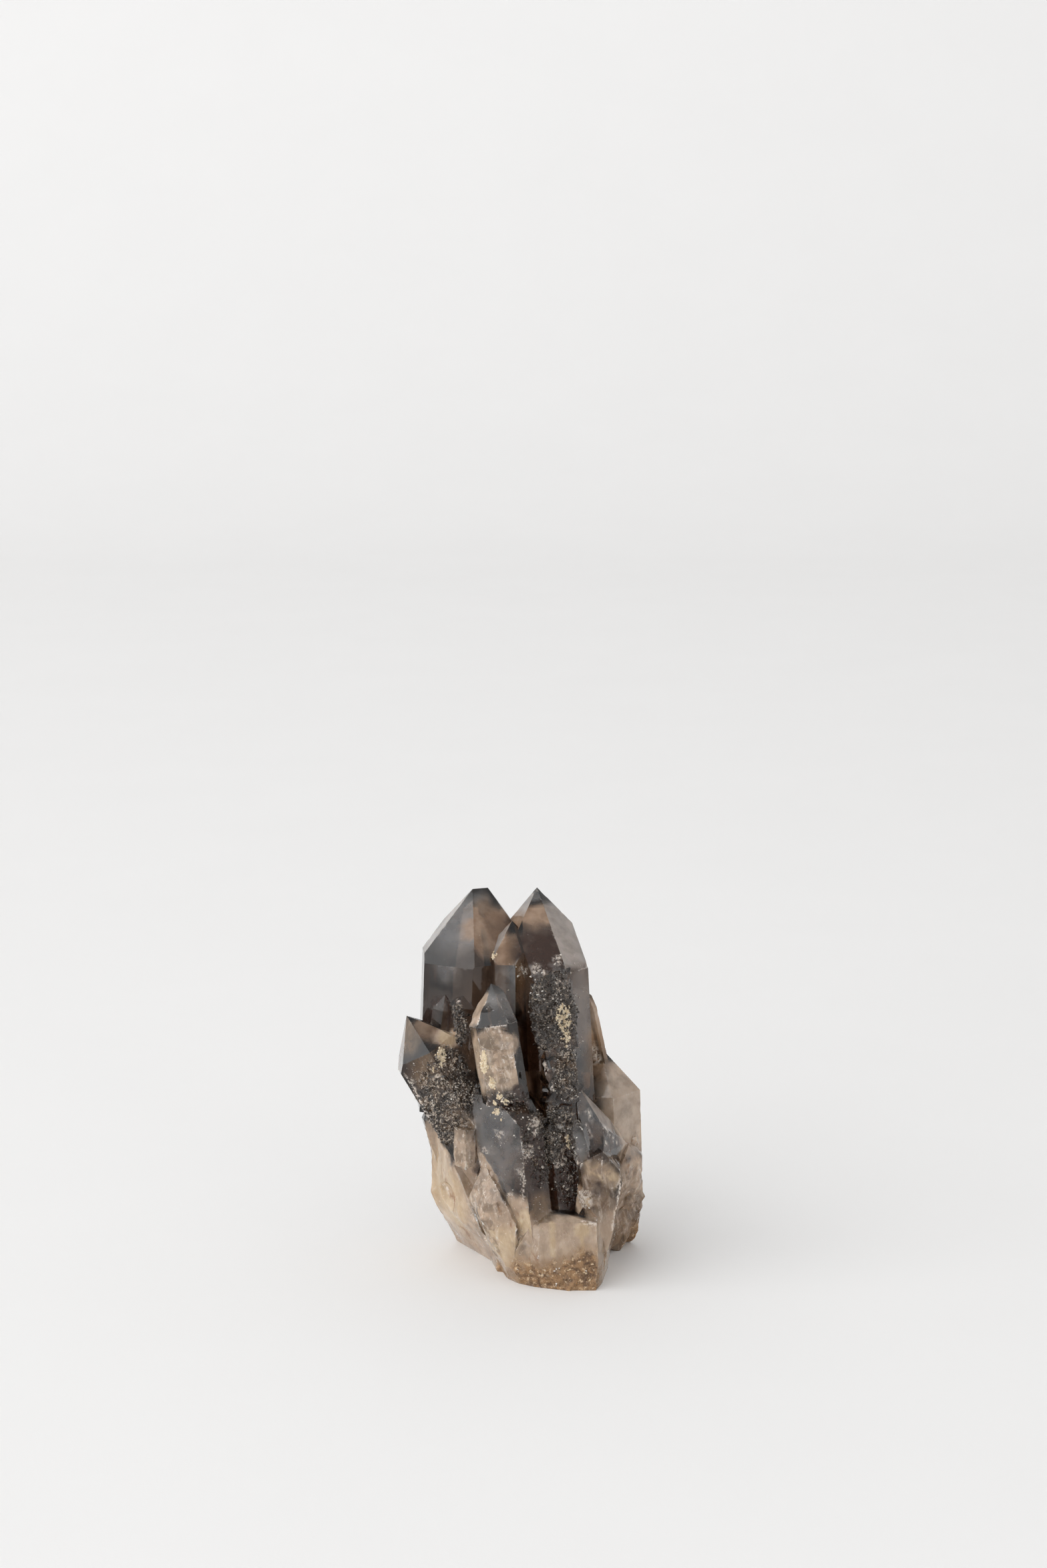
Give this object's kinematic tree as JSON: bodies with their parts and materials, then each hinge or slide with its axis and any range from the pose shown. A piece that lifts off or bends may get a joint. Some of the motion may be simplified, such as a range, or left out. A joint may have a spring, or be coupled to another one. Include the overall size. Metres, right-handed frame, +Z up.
{
  "type": "smoky quartz cluster",
  "caption": "Smoky quartz crystals of uneven height grown together out of a broken milky base, cut off flat underneath.",
  "frame": {"origin": "middle of the underside, on the flat cut that the specimen rests on", "axes": "+Z up, along the long crystals; the front, with the low crystals and the broken front block, looks along -Y; +X to its right"},
  "size_m": [0.0564, 0.0408, 0.0846],
  "materials": {
    "smoky_quartz": "vitreous crystal faces, smoky brown to black above, milky and iron-stained at the broken base"
  },
  "bodies": {
    "root": {"smoky_quartz_cluster": "smoky_quartz"}
  },
  "joints": []
}
